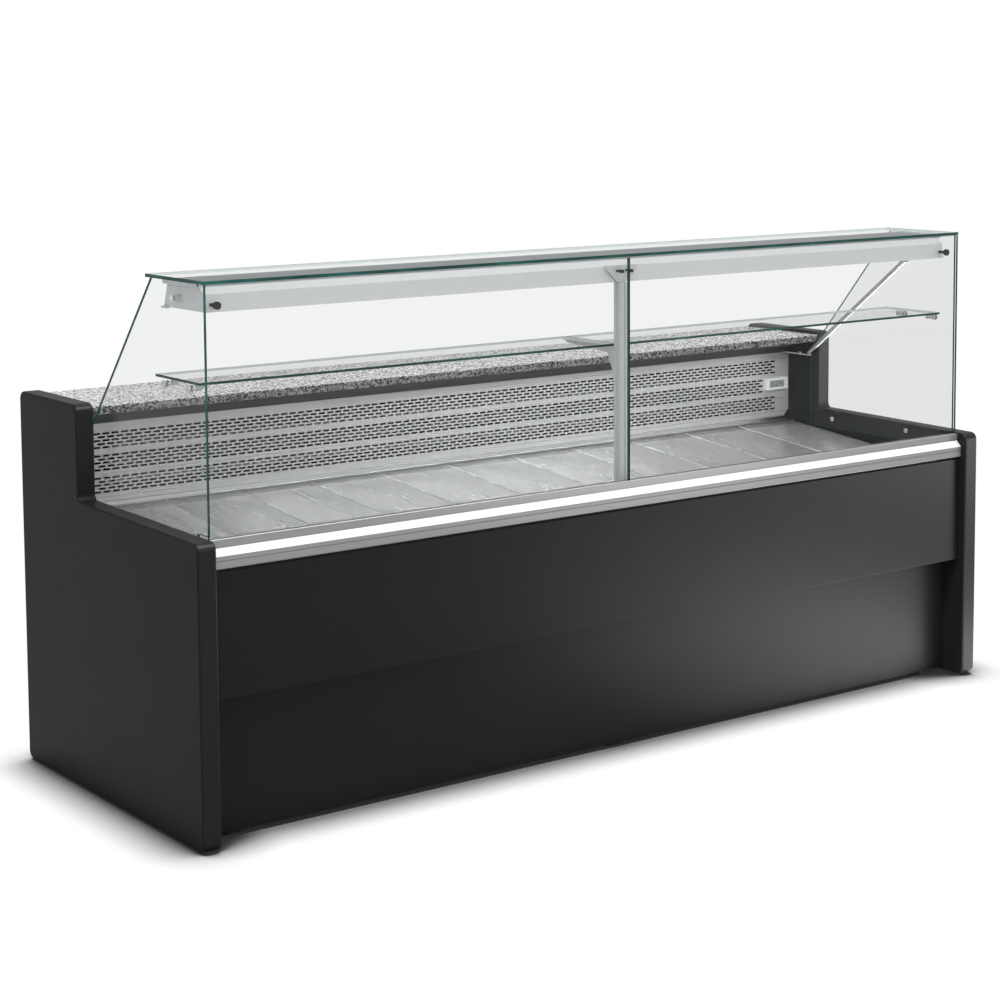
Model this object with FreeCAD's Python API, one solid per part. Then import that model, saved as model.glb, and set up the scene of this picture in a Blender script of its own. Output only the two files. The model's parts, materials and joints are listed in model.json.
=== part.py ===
import FreeCAD, Part
import math
import os

os.makedirs("parts", exist_ok=True)
V = FreeCAD.Vector

# Refrigerated serve-over counter, millimetres.
# +Z up, customer side faces -Y, origin on the floor under the middle of the case.
# Depths are measured from the front edge of the end panels towards the operator.

# ---- overall size ----
LENGTH = 2500.0
DEPTH = 910.0
HEIGHT = 1270.0
PANEL_T = 48.0
PANEL_LIFT = 4.0
SILL_FRONT = 700.0
SILL_STEP = 707.0
COLUMN_FRONT = 592.0
COLUMN_TOP = 940.0
CORNER_R = 20.0
STEP_R = 15.0
EDGE_R = 5.0

# ---- front ----
FIT_X = LENGTH / 2 - PANEL_T
UPPER_D = 22.0
UPPER_BOTTOM = 338.0
UPPER_TOP = 627.0
LOWER_D = 78.0
LOWER_BOTTOM = 12.0
LOWER_TOP = 345.0
BOARD_T = 18.0
PROFILE_TOP = 697.0
PROFILE_BOTTOM = 633.0
PROFILE_BACK = 50.0

# ---- front glass hinge ----
GLASS_T = 6.0
HINGE_D = 40.0
HINGE_Z = 692.0
RAIL_R = 6.0
SOCKET_R = 6.05
PANE_GAP = 3.0
PANE_END = 1200.0
PANE_TOP = 1261.0
PANE_BOTTOM = 689.0

# ---- glass canopy ----
TOP_HALF = 1203.0
TOP_D0 = 37.0
TOP_D1 = 312.0
TOP_T = 8.0
SIDE_IN = 1193.0
SIDE_TOP_D = 293.0
SIDE_REAR_D = 617.0
SIDE_REAR_Z = 880.0
SIDE_BOTTOM = 655.0
SHELF_TOP = 1040.0
SHELF_D0 = 90.0
SHELF_D1 = 300.0
SHELF_END = 1188.0
LAMP_END = 1176.0
LAMP_BOTTOM = 1197.0
LAMP_TOP = 1252.0

# ---- well and deck ----
TUB_FLOOR0 = 540.0
TUB_FLOOR1 = 570.0
TUB_WALL_TOP = 688.0
DECK_FRONT_D = 92.0
DECK_FRONT_Z = 606.0
DECK_REAR_D = 691.0
DECK_REAR_Z = 661.0
DECK_COUNT = 11
DECK_HALF = 1186.0
DECK_GAP = 0.6
DECK_FLANGE = 14.0
SHEET = 1.5
AIR_PANEL_D = 720.0
AIR_PANEL_Z0 = 672.0
AIR_PANEL_Z1 = 868.0
# each slot stands for a run of five 20 mm slots at 25.5 mm pitch
SLOT_PITCH = 127.5
SLOT_LEN = 122.0
SLOT_H = 3.8
ROW_PITCH = 8.6
GROUP_PITCH = 55.6
FIRST_ROW_Z = 842.0

# ---- worktop ----
STONE_D0 = 594.0
STONE_D1 = 908.0
STONE_Z0 = 910.0
STONE_T = 20.0

# ---- carcass ----
REAR_FACE = 850.0
FRAME_Z0 = 60.0
FRAME_Z1 = 100.0
STORE_X1 = 700.0
STORE_FLOOR1 = 140.0
WALL_T = 40.0
STORE_D0 = 96.0
REAR_WALL_D1 = 890.0
REAR_WALL_Z0 = 562.0

# ---- rear doors ----
DOOR_X0 = -1180.0
DOOR_X1 = 692.0
DOOR_GAP = 12.0
DOOR_COUNT = 3
DOOR_D0 = 856.0
DOOR_D1 = 892.0
DOOR_Z0 = 112.0
DOOR_Z1 = 556.0
AXIS_INSET = 12.0
AXIS_D = 874.0
PIN_R = 4.0
PIN_FIT = 0.05
DOOR_W = (DOOR_X1 - DOOR_X0 - (DOOR_COUNT - 1) * DOOR_GAP) / DOOR_COUNT

HALF_D = DEPTH / 2


def block(x0, x1, d0, d1, z0, z1):
    return Part.makeBox(x1 - x0, d1 - d0, z1 - z0, V(x0, d0 - HALF_D, z0))


def rod_x(x0, x1, d, z, r):
    return Part.makeCylinder(r, x1 - x0, V(x0, d - HALF_D, z), V(1, 0, 0))


def rod_y(d0, d1, x, z, r):
    return Part.makeCylinder(r, d1 - d0, V(x, d0 - HALF_D, z), V(0, 1, 0))


def rod_z(z0, z1, x, d, r):
    return Part.makeCylinder(r, z1 - z0, V(x, d - HALF_D, z0), V(0, 0, 1))


def prism_x(points, x0, x1):
    ring = [V(x0, d - HALF_D, z) for d, z in points]
    face = Part.Face(Part.makePolygon(ring + ring[:1]))
    return face.extrude(V(x1 - x0, 0, 0))


def prism_y(points, d0, d1):
    ring = [V(x, d0 - HALF_D, z) for x, z in points]
    face = Part.Face(Part.makePolygon(ring + ring[:1]))
    return face.extrude(V(0, d1 - d0, 0))


def rounded_wire(points, radii, x):
    # Closed outline in the YZ plane whose corners carry the given radii.
    edges = []
    cuts = []
    count = len(points)
    for i in range(count):
        here = V(x, points[i][0] - HALF_D, points[i][1])
        before = V(x, points[i - 1][0] - HALF_D, points[i - 1][1])
        after = V(x, points[(i + 1) % count][0] - HALF_D, points[(i + 1) % count][1])
        u = (before - here).normalize()
        w = (after - here).normalize()
        half = u.getAngle(w) / 2
        reach = radii[i] / math.tan(half)
        bis = (u + w).normalize()
        mid = here + bis * (radii[i] / math.sin(half) - radii[i])
        cuts.append((here + u * reach, mid, here + w * reach))
    for i in range(count):
        start, mid, stop = cuts[i]
        edges.append(Part.Arc(start, mid, stop).toShape())
        edges.append(Part.makeLine(stop, cuts[(i + 1) % count][0]))
    return Part.Wire(edges)


def edges_at(shape, axis, value):
    # Every edge of the shape that lies wholly in the plane axis = value.
    found = []
    for edge in shape.Edges:
        box = edge.BoundBox
        low = {"x": box.XMin, "y": box.YMin, "z": box.ZMin}[axis]
        high = {"x": box.XMax, "y": box.YMax, "z": box.ZMax}[axis]
        if abs(low - value) < 0.01 and abs(high - value) < 0.01:
            found.append(edge)
    return found


def fused(shapes):
    body = shapes[0].multiFuse(shapes[1:])
    return body.removeSplitter()


def mirrored(shape):
    return shape.mirror(V(0, 0, 0), V(1, 0, 0))


def pair(shape):
    return Part.makeCompound([shape, mirrored(shape)])


def write(name, shape):
    shape.exportStep("parts/" + name + ".step")


# ---- end panels ----
PANEL_OUTLINE = [
    (0, PANEL_LIFT),
    (DEPTH, PANEL_LIFT),
    (DEPTH, COLUMN_TOP),
    (COLUMN_FRONT, COLUMN_TOP),
    (COLUMN_FRONT, SILL_STEP),
    (0, SILL_FRONT),
]
PANEL_RADII = [CORNER_R, CORNER_R, CORNER_R, CORNER_R, STEP_R, CORNER_R]
panel_wire = rounded_wire(PANEL_OUTLINE, PANEL_RADII, FIT_X)
panel = Part.Face(panel_wire).extrude(V(PANEL_T, 0, 0))
panel_edges = edges_at(panel, "x", FIT_X) + edges_at(panel, "x", FIT_X + PANEL_T)
panel = panel.makeFillet(EDGE_R, panel_edges)
write("end_panel_right", panel)
write("end_panel_left", mirrored(panel))

# ---- front panels ----
PANEL_X = FIT_X - 1
upper = block(-PANEL_X, PANEL_X, UPPER_D, UPPER_D + BOARD_T, UPPER_BOTTOM, UPPER_TOP)
upper = upper.makeFillet(1.5, edges_at(upper, "y", UPPER_D - HALF_D))
write("upper_front_panel", upper)
lower = block(-PANEL_X, PANEL_X, LOWER_D, LOWER_D + BOARD_T, LOWER_BOTTOM, LOWER_TOP)
lower = lower.makeFillet(1.5, edges_at(lower, "y", LOWER_D - HALF_D))
write("lower_front_panel", lower)

# ---- front aluminium profile with the round socket of the glass hinge ----
PROFILE = [
    (30, PROFILE_TOP),
    (31, 679),
    (34, 677),
    (34, 662),
    (17, 662),
    (17, 652.5),
    (19, 652),
    (19, 651),
    (17, 650.5),
    (17, 635),
    (19, PROFILE_BOTTOM),
    (PROFILE_BACK, PROFILE_BOTTOM),
    (PROFILE_BACK, PROFILE_TOP),
]
profile = prism_x(PROFILE, -PANEL_X, PANEL_X)
profile = profile.cut(rod_x(-FIT_X, FIT_X, HINGE_D, HINGE_Z, SOCKET_R))
MOUTH_REAR = HINGE_D + math.sqrt(SOCKET_R**2 - (PROFILE_TOP - HINGE_Z) ** 2)
mouth = [(30.4, PROFILE_TOP + 1), (33.95, 691), (HINGE_D, 691), (MOUTH_REAR, PROFILE_TOP + 1)]
profile = profile.cut(prism_x(mouth, -FIT_X, FIT_X))
profile = profile.cut(prism_x([(38, 640), (47, 640), (47, 680), (38, 680)], -FIT_X, FIT_X))
write("front_profile", profile)
# Bevelled trim strip clipped into the step of the profile.
trim = prism_x([(34, 677), (32, 678), (17, 663), (17, 662), (34, 662)], -PANEL_X, PANEL_X)
write("front_trim_strip", trim)

# ---- front glass panes and the round rails that turn in the socket ----
half_gap = PANE_GAP / 2
g0 = HINGE_D - GLASS_T / 2
g1 = HINGE_D + GLASS_T / 2
pane = block(half_gap, PANE_END, g0, g1, PANE_BOTTOM, PANE_TOP)
pane = pane.makeChamfer(0.8, edges_at(pane, "z", PANE_TOP))
rail = rod_x(half_gap, PANE_END, HINGE_D, HINGE_Z, RAIL_R)
rail = rail.cut(block(0, FIT_X, g0, g1, PANE_BOTTOM, PANE_TOP))
write("front_glass_right", pane)
write("front_glass_left", mirrored(pane))
write("glass_rail_right", rail)
write("glass_rail_left", mirrored(rail))

# ---- top glass ----
top = block(-TOP_HALF, TOP_HALF, TOP_D0, TOP_D1, HEIGHT - TOP_T, HEIGHT)
top = top.makeChamfer(0.8, edges_at(top, "z", HEIGHT) + edges_at(top, "z", HEIGHT - TOP_T))
write("top_glass", top)

# ---- side glasses, holes for their screws and for the lamp bolt ----
SIDE_SCREWS = [(222, 683), (523, 682)]
LAMP_BOLT = (190, 1222)
SIDE_OUTLINE = [
    (44.5, HEIGHT - TOP_T),
    (SIDE_TOP_D, HEIGHT - TOP_T),
    (SIDE_REAR_D, SIDE_REAR_Z),
    (SIDE_REAR_D, SIDE_BOTTOM),
    (DECK_FRONT_D, SIDE_BOTTOM),
    (DECK_FRONT_D, 702),
    (44.5, 702),
]
side = prism_x(SIDE_OUTLINE, SIDE_IN, SIDE_IN + GLASS_T)
for d, z in SIDE_SCREWS + [LAMP_BOLT]:
    side = side.cut(rod_x(SIDE_IN - 1, SIDE_IN + GLASS_T + 1, d, z, 4.0))
SHELF_PINS = [(120, 1024), (235, 1024)]
for d, z in SHELF_PINS:
    side = side.cut(rod_x(SIDE_IN - 1, SIDE_IN + GLASS_T + 1, d, z, 4.0))
write("side_glass_right", side)
write("side_glass_left", mirrored(side))

# ---- domed screws that hold the side glasses to the end panels ----
HEAD_R = 7.5
screws = []
for d, z in SIDE_SCREWS:
    shank = rod_x(SIDE_IN - 1, FIT_X, d, z, 4.0)
    spacer = rod_x(SIDE_IN + GLASS_T, FIT_X, d, z, 7.0)
    dome = Part.makeSphere(9.0, V(SIDE_IN + 4.5, d - HALF_D, z))
    dome = dome.common(rod_x(SIDE_IN - 5, SIDE_IN, d, z, HEAD_R))
    screw = fused([shank, spacer, dome])
    screws.append(screw)
    screws.append(mirrored(screw))
write("side_glass_screws", Part.makeCompound(screws))

# ---- lamp housing, folded aluminium, open below for the diffuser ----
LAMP_OUT = [(72, LAMP_BOTTOM), (78, 1237), (98, LAMP_TOP), (248, LAMP_TOP), (266, LAMP_BOTTOM)]
LAMP_IN = [(75, LAMP_BOTTOM - 1), (80.6, 1236), (99, 1250), (246.4, 1250), (263.2, LAMP_BOTTOM - 1)]
housing = prism_x(LAMP_OUT, -LAMP_END, LAMP_END)
housing = housing.cut(prism_x(LAMP_IN, -LAMP_END - 1, LAMP_END + 1))
ledge_front = block(-LAMP_END, LAMP_END, 74, 84, LAMP_BOTTOM, LAMP_BOTTOM + 1.5)
ledge_rear = block(-LAMP_END, LAMP_END, 254, 264, LAMP_BOTTOM, LAMP_BOTTOM + 1.5)
housing = fused([housing, ledge_front, ledge_rear])
write("lamp_housing", housing)
diffuser = block(-LAMP_END, LAMP_END, 77, 261, LAMP_BOTTOM + 1.5, LAMP_BOTTOM + 4.5)
write("lamp_diffuser", diffuser)

# ---- lamp end caps: trapezoid plate, round carrying rail for the top glass, bolt ----
CAP_X0 = LAMP_END
CAP_X1 = LAMP_END + 3
plate = prism_x(LAMP_OUT, CAP_X0, CAP_X1)
carrier = rod_y(95, 250, CAP_X1 + 6, 1256, 6.0)
carrier = carrier.fuse(block(CAP_X0, CAP_X1 + 6, 95, 250, LAMP_TOP, 1260))
carrier = carrier.cut(rod_y(90, 130, CAP_X1 + 6, 1256, 3.5))
toe = block(CAP_X0, CAP_X1 + 8, 244, 266, LAMP_BOTTOM - 3, LAMP_BOTTOM + 2)
standoff = rod_x(CAP_X0, SIDE_IN, LAMP_BOLT[0], LAMP_BOLT[1], 7.0)
bolt = rod_x(CAP_X0, SIDE_IN + GLASS_T, LAMP_BOLT[0], LAMP_BOLT[1], 4.0)
bolt_head = rod_x(SIDE_IN + GLASS_T, SIDE_IN + GLASS_T + 2.5, LAMP_BOLT[0], LAMP_BOLT[1], 7.0)
cap = fused([plate, carrier, toe, standoff, bolt, bolt_head])
write("lamp_end_caps", pair(cap))

# ---- rubber-headed buffers that the front panes close against ----
BUFFER_FACE = HINGE_D + GLASS_T / 2 + 0.6
outer_head = rod_y(BUFFER_FACE, 52, 1164, 1214, 9.0)
outer_pin = rod_y(51, 73.9, 1164, 1214, 4.0)
outer_buffer = fused([outer_head, outer_pin])
inner_head = rod_y(BUFFER_FACE, 54, 15, 1226, 4.5)
inner_pin = rod_y(53, 68, 15, 1226, 3.0)
inner_buffer = fused([inner_head, inner_pin])
buffers = [outer_buffer, mirrored(outer_buffer), inner_buffer, mirrored(inner_buffer)]
write("glass_buffers", Part.makeCompound(buffers))

# ---- centre post with its grooves ----
POST_HALF = 13.0
POST_D0 = 56.0
POST_D1 = 84.0
post = block(-POST_HALF, POST_HALF, POST_D0, POST_D1, TUB_WALL_TOP, LAMP_BOTTOM - 1)
post = post.makeFillet(2.0, [e for e in post.Edges if e.BoundBox.ZLength > 100])
groove = block(-3, 3, POST_D0 - 1, POST_D0 + 3, TUB_WALL_TOP - 1, LAMP_BOTTOM)
post = post.cut(groove)
for side_x in (-POST_HALF - 1, POST_HALF - 2):
    slot = block(side_x, side_x + 3, 67, 73, TUB_WALL_TOP - 1, LAMP_BOTTOM)
    post = post.cut(slot)
write("centre_post", post)

# ---- shelf arm and head gusset of the post ----
SHELF_BOTTOM = SHELF_TOP - GLASS_T
ARM = [
    (POST_D1, 950),
    (POST_D1 + 12, 956),
    (122, 1014),
    (292, 1026),
    (292, SHELF_BOTTOM),
    (POST_D1, SHELF_BOTTOM),
]
arm = prism_x(ARM, -2, 2)
flange = block(-12, 12, POST_D1, 292, SHELF_BOTTOM - 2, SHELF_BOTTOM)
heel = block(-12, 12, POST_D1, POST_D1 + 3, 950, SHELF_BOTTOM)
arm = fused([arm, flange, heel])
GUSSET = [(-55, 1240), (-POST_HALF, LAMP_BOTTOM - 1), (POST_HALF, LAMP_BOTTOM - 1), (55, 1240)]
gusset = prism_y(GUSSET, 68, 71)
write("post_brackets", Part.makeCompound([arm, gusset]))

# ---- middle shelf: two panes on four glass clamps and the arm ----
shelf = block(half_gap, SHELF_END, SHELF_D0, SHELF_D1, SHELF_BOTTOM, SHELF_TOP)
shelf = shelf.makeChamfer(0.8, edges_at(shelf, "z", SHELF_TOP))
write("shelf_glass_right", shelf)
write("shelf_glass_left", mirrored(shelf))
supports = []
for d, z in SHELF_PINS:
    pin = rod_x(SHELF_END - 22, SIDE_IN + GLASS_T, d, z, 4.0)
    inner_washer = rod_x(SIDE_IN - 3, SIDE_IN, d, z, 8.0)
    outer_washer = rod_x(SIDE_IN + GLASS_T, SIDE_IN + GLASS_T + 2.5, d, z, 9.0)
    pad = rod_z(z, SHELF_BOTTOM, SHELF_END - 16, d, 10.0)
    support = fused([pin, inner_washer, outer_washer, pad])
    supports.append(support)
    supports.append(mirrored(support))
write("shelf_supports", Part.makeCompound(supports))

# ---- polished stay between lamp and worktop, right-hand side ----
STAY_X = 1182.0
STAY_R = 7.0
foot_p = V(STAY_X, 612 - HALF_D, 876)
head_p = V(STAY_X, 222 - HALF_D, 1180)
run = head_p - foot_p
stay = Part.makeCylinder(STAY_R, run.Length, foot_p, run)
cap_start = foot_p + run * (1 - 16 / run.Length)
stay_cap = Part.makeCylinder(STAY_R + 1, 18, cap_start, run)
lug = block(STAY_X - 6, STAY_X + 6, 212, 232, 1178, LAMP_BOTTOM)
foot_ball = Part.makeSphere(STAY_R, foot_p)
foot_bar = block(STAY_X - 10, STAY_X + 10, 606, 722, AIR_PANEL_Z1, AIR_PANEL_Z1 + 4)
foot_bar = foot_bar.makeFillet(4, [e for e in foot_bar.Edges if e.BoundBox.ZLength > 3])
foot_screw = rod_z(AIR_PANEL_Z1 + 3, AIR_PANEL_Z1 + 8, STAY_X, 648, 6.0)
stay = fused([stay, stay_cap, lug, foot_ball, foot_bar, foot_screw])
write("lamp_stay", stay)

# ---- stone worktop and its steel support ----
STONE_X = FIT_X - 1
stone = block(-STONE_X, STONE_X, STONE_D0, STONE_D1, STONE_Z0, STONE_Z0 + STONE_T)
stone = stone.makeChamfer(1.5, edges_at(stone, "y", STONE_D0 - HALF_D))
write("worktop_stone", stone)
fascia = block(-FIT_X, FIT_X, 722, 725, AIR_PANEL_Z1, STONE_Z0 - 4)
deck_top = block(-FIT_X, FIT_X, 660, REAR_WALL_D1, STONE_Z0 - 4, STONE_Z0)
lip = block(-FIT_X, FIT_X, 660, 663, STONE_Z0 - 16, STONE_Z0 - 4)
write("worktop_support", Part.makeCompound([fascia, deck_top, lip]))

# ---- perforated air panel with a turned-back top edge ----
AIR_X = FIT_X - 1
CHAMFER = 18.0
SLOT_X = 1150.0
DISPLAY_X0 = 1104.0
DISPLAY_X1 = 1190.0


def slot_wire(x, z):
    y = AIR_PANEL_D - HALF_D
    a = SLOT_LEN / 2
    r = SLOT_H / 2
    corners = [V(x - a, y, z - r), V(x + a, y, z - r), V(x + a, y, z + r), V(x - a, y, z + r)]
    return Part.makePolygon(corners + corners[:1])


AIR_OUTLINE = [
    (-AIR_X + CHAMFER, AIR_PANEL_Z0),
    (AIR_X - CHAMFER, AIR_PANEL_Z0),
    (AIR_X, AIR_PANEL_Z0 + CHAMFER),
    (AIR_X, AIR_PANEL_Z1),
    (-AIR_X, AIR_PANEL_Z1),
    (-AIR_X, AIR_PANEL_Z0 + CHAMFER),
]
air_ring = [V(x, AIR_PANEL_D - HALF_D, z) for x, z in AIR_OUTLINE]
wires = [Part.makePolygon(air_ring + air_ring[:1])]
slot_count = int(2 * SLOT_X / SLOT_PITCH)
for group in range(3):
    for row in range(5):
        z = FIRST_ROW_Z - group * GROUP_PITCH - row * ROW_PITCH
        shift = SLOT_PITCH / 2 if row % 2 else 0.0
        for i in range(slot_count):
            x = -SLOT_X + shift + (i + 0.5) * SLOT_PITCH
            end = x + SLOT_LEN / 2
            behind_display = group == 1 and end > DISPLAY_X0 - 5
            if end < SLOT_X + 10 and not behind_display:
                wires.append(slot_wire(x, z))
air_face = Part.Face(wires)
air_panel = air_face.extrude(V(0, SHEET, 0))
air_hem = block(-AIR_X, AIR_X, AIR_PANEL_D + SHEET, 722, AIR_PANEL_Z1 - SHEET, AIR_PANEL_Z1)
air_panel = air_panel.fuse(air_hem)
write("rear_air_panel", air_panel)

# ---- ledge under the air panel ----
LEDGE = [
    (692, 650),
    (735, 650),
    (735, 671.5),
    (710, 671.5),
    (708, 662),
    (697, 662),
    (696, 665),
    (692, 665),
]
write("rear_ledge", prism_x(LEDGE, -FIT_X, FIT_X))

# ---- thermometer display on the air panel ----
bezel = block(DISPLAY_X0, DISPLAY_X1, 712, AIR_PANEL_D, 755, 791)
bezel = bezel.makeFillet(3, [e for e in bezel.Edges if e.BoundBox.YLength > 5])
window = block(DISPLAY_X0 + 12, DISPLAY_X1 - 12, 710, 715, 762, 784)
bezel = bezel.cut(window)
write("display_bezel", bezel)
write("display_screen", block(DISPLAY_X0 + 12, DISPLAY_X1 - 12, 713.5, 715, 762, 784))

# ---- well: foamed floor, front wall, rear wall ----
DRAIN = (-300.0, 420.0)
PIPE = (1176.0, 785.0)
tub_floor = block(-FIT_X, FIT_X, UPPER_D + BOARD_T, REAR_FACE, TUB_FLOOR0, TUB_FLOOR1)
tub_floor = tub_floor.cut(rod_z(TUB_FLOOR0 - 1, TUB_FLOOR1 + 1, DRAIN[0], DRAIN[1], 17.0))
tub_floor = tub_floor.cut(rod_z(TUB_FLOOR0 - 1, TUB_FLOOR1 + 1, PIPE[0], PIPE[1], 16.0))
write("tub_floor", tub_floor)
drain_tube = rod_z(TUB_FLOOR0 - 60, TUB_FLOOR1, DRAIN[0], DRAIN[1], 17.0)
drain_tube = drain_tube.fuse(rod_z(TUB_FLOOR1, TUB_FLOOR1 + 2, DRAIN[0], DRAIN[1], 30.0))
drain_tube = drain_tube.cut(rod_z(TUB_FLOOR0 - 61, TUB_FLOOR1 + 3, DRAIN[0], DRAIN[1], 14.0))
write("drain_outlet", drain_tube)
write("tub_front_wall", block(-PANEL_X, PANEL_X, PROFILE_BACK, 70, TUB_FLOOR1, TUB_WALL_TOP))
rear_wall = block(-FIT_X, FIT_X, REAR_FACE, REAR_WALL_D1, REAR_WALL_Z0, STONE_Z0 - 4)
write("rear_upper_wall", rear_wall)

# ---- air intake grille in front of the deck ----
GRILLE_D = 88.0
grille_x = SIDE_IN - 3
intake = block(-grille_x, grille_x, GRILLE_D, GRILLE_D + SHEET, 598, TUB_WALL_TOP)
flange = block(-grille_x, grille_x, 70, GRILLE_D, TUB_WALL_TOP - SHEET, TUB_WALL_TOP)
INTAKE_COUNT = 24
intake_pitch = 2 * grille_x / INTAKE_COUNT
cuts = []
for i in range(INTAKE_COUNT):
    x = -grille_x + (i + 0.5) * intake_pitch
    for z in (632, 648, 664):
        cuts.append(block(x - 38, x + 38, GRILLE_D - 1, GRILLE_D + SHEET + 1, z, z + 6))
intake = intake.cut(Part.makeCompound(cuts))
write("intake_grille", Part.makeCompound([intake, flange]))

# ---- display deck: sloping trays side by side on three rails ----
slope = (DECK_REAR_Z - DECK_FRONT_Z) / (DECK_REAR_D - DECK_FRONT_D)
deck_pitch = 2 * DECK_HALF / DECK_COUNT
tray_w = deck_pitch - DECK_GAP
TRAY_OUT = [
    (DECK_FRONT_D, DECK_FRONT_Z),
    (DECK_REAR_D, DECK_REAR_Z),
    (DECK_REAR_D, DECK_REAR_Z - DECK_FLANGE),
    (DECK_FRONT_D, DECK_FRONT_Z - DECK_FLANGE),
]
TRAY_IN = [
    (DECK_FRONT_D + SHEET, DECK_FRONT_Z - SHEET),
    (DECK_REAR_D - SHEET, DECK_REAR_Z - SHEET),
    (DECK_REAR_D - SHEET, DECK_REAR_Z - DECK_FLANGE - 1),
    (DECK_FRONT_D + SHEET, DECK_FRONT_Z - DECK_FLANGE - 1),
]
tray = prism_x(TRAY_OUT, -tray_w / 2, tray_w / 2)
long_top = []
for edge in tray.Edges:
    box = edge.BoundBox
    if box.XLength < 0.01 and box.YLength > 100 and box.ZMax > DECK_REAR_Z - 1:
        long_top.append(edge)
tray = tray.makeFillet(1.4, long_top)
tray = tray.cut(prism_x(TRAY_IN, -tray_w / 2 + SHEET, tray_w / 2 - SHEET))
trays = []
for i in range(DECK_COUNT):
    copy = tray.copy()
    copy.translate(V((i - (DECK_COUNT - 1) / 2) * deck_pitch, 0, 0))
    trays.append(copy)
write("deck_trays", Part.makeCompound(trays))


def rail_top(d):
    return DECK_FRONT_Z - DECK_FLANGE + (d - DECK_FRONT_D) * slope


rails = []
for d in (98.0, 380.0, 662.0):
    corners = [(d, rail_top(d)), (d + 22, rail_top(d + 22)), (d + 22, rail_top(d) - 8)]
    rails.append(prism_x(corners + [(d, rail_top(d) - 8)], -DECK_HALF, DECK_HALF))
    for leg in range(7):
        x = -DECK_HALF + leg * (2 * DECK_HALF - 24) / 6
        rails.append(block(x, x + 24, d + 4, d + 18, TUB_FLOOR1, rail_top(d) - 8))
write("deck_rails", Part.makeCompound(rails))

# ---- storage cabinet ----
floor = block(-FIT_X, STORE_X1, STORE_D0, REAR_FACE, FRAME_Z1, STORE_FLOOR1)
MULLION = 60.0
walls = [floor, block(-FIT_X, STORE_X1, STORE_D0, STORE_D0 + WALL_T, STORE_FLOOR1, TUB_FLOOR0)]
back = STORE_D0 + WALL_T
walls.append(block(-FIT_X, -FIT_X + 44, back, REAR_FACE, STORE_FLOOR1, TUB_FLOOR0))
walls.append(block(STORE_X1 - WALL_T, STORE_X1, back, REAR_FACE, STORE_FLOOR1, TUB_FLOOR0))
mullion_x = []
for i in range(DOOR_COUNT - 1):
    centre = DOOR_X0 + (i + 1) * (DOOR_W + DOOR_GAP) - DOOR_GAP / 2
    mullion_x.append(centre)
    mullion = block(centre - MULLION / 2, centre + MULLION / 2, 796, REAR_FACE, STORE_FLOOR1, TUB_FLOOR0)
    walls.append(mullion)
write("storage_cabinet", Part.makeCompound(walls))
RACK_TOP = 330.0
RACK_T = 4.0
bounds = [-FIT_X + 44] + mullion_x + [STORE_X1 - WALL_T]
racks = []
for i in range(DOOR_COUNT):
    x0 = bounds[i] + (MULLION / 2 + 4 if i else 6)
    x1 = bounds[i + 1] - (MULLION / 2 + 4 if i < DOOR_COUNT - 1 else 6)
    racks.append(block(x0, x1, 146, 780, RACK_TOP - RACK_T, RACK_TOP))
    for x in (x0 + 12, x1 - 12):
        for d in (158, 768):
            racks.append(rod_z(STORE_FLOOR1, RACK_TOP - RACK_T, x, d, 8.0))
write("storage_racks", Part.makeCompound(racks))

# ---- base frame with the unit tray, levelling feet ----
frame = [
    block(-FIT_X, FIT_X, 100, 140, FRAME_Z0, FRAME_Z1),
    block(-FIT_X, FIT_X, 806, 846, FRAME_Z0, FRAME_Z1),
]
for x in (-FIT_X, -20, STORE_X1 - 20, FIT_X - 40):
    frame.append(block(x, x + 40, 140, 806, FRAME_Z0, FRAME_Z1))
frame.append(block(STORE_X1 + 2, FIT_X, 100, 846, FRAME_Z1, FRAME_Z1 + 2))
write("base_frame", Part.makeCompound(frame))
feet = []
for x in (-1120, 0, 1120):
    for d in (120, 826):
        pad = Part.makeCone(30, 22, 12, V(x, d - HALF_D, 0), V(0, 0, 1))
        stem = rod_z(11, FRAME_Z0, x, d, 7.0)
        nut = rod_z(FRAME_Z0 - 10, FRAME_Z0, x, d, 12.0)
        feet.append(fused([pad, stem, nut]))
write("levelling_feet", Part.makeCompound(feet))

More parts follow.
